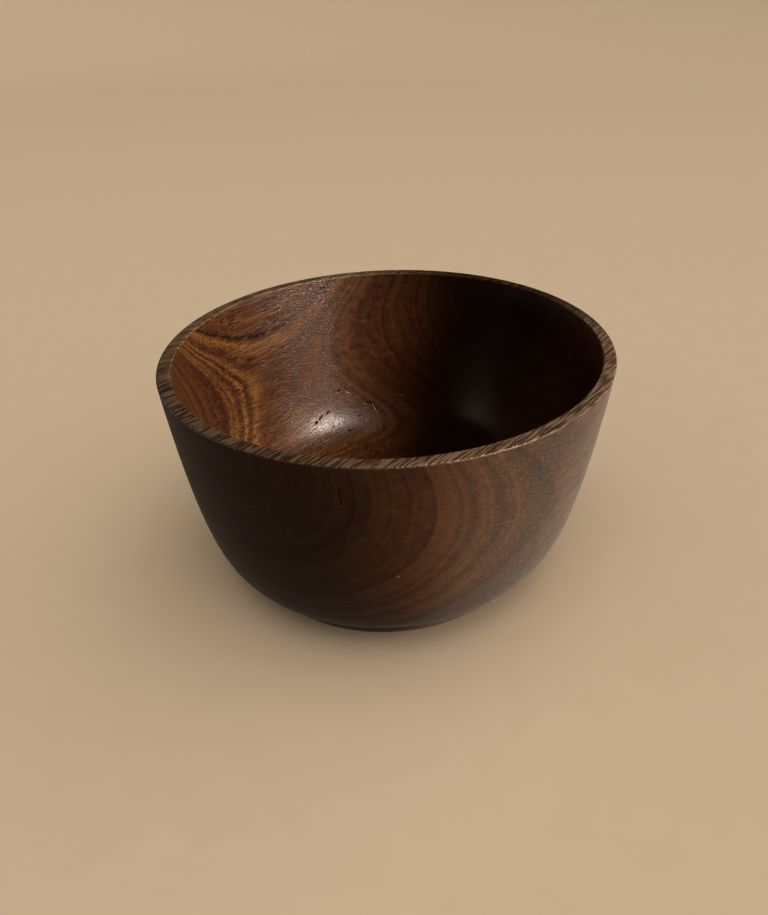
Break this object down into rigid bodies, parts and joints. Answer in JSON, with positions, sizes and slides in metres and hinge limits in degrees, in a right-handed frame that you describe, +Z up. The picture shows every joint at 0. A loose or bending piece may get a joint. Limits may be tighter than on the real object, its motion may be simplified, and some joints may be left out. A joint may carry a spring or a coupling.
{
  "type": "turned wooden bowl",
  "caption": "Deep round bowl turned from one block of oiled teak, with a flat-topped rim, steep walls and a low foot.",
  "frame": {"origin": "middle of the foot, on the surface that the bowl stands on", "axes": "+Z up, out of the bowl's mouth; X along the wood's grain, the rim's longer diameter; Y across the grain"},
  "size_m": [0.2, 0.19, 0.104],
  "materials": {
    "oiled_teak": "turned, sanded and oiled"
  },
  "bodies": {
    "root": {"bowl": "oiled_teak"}
  },
  "joints": []
}
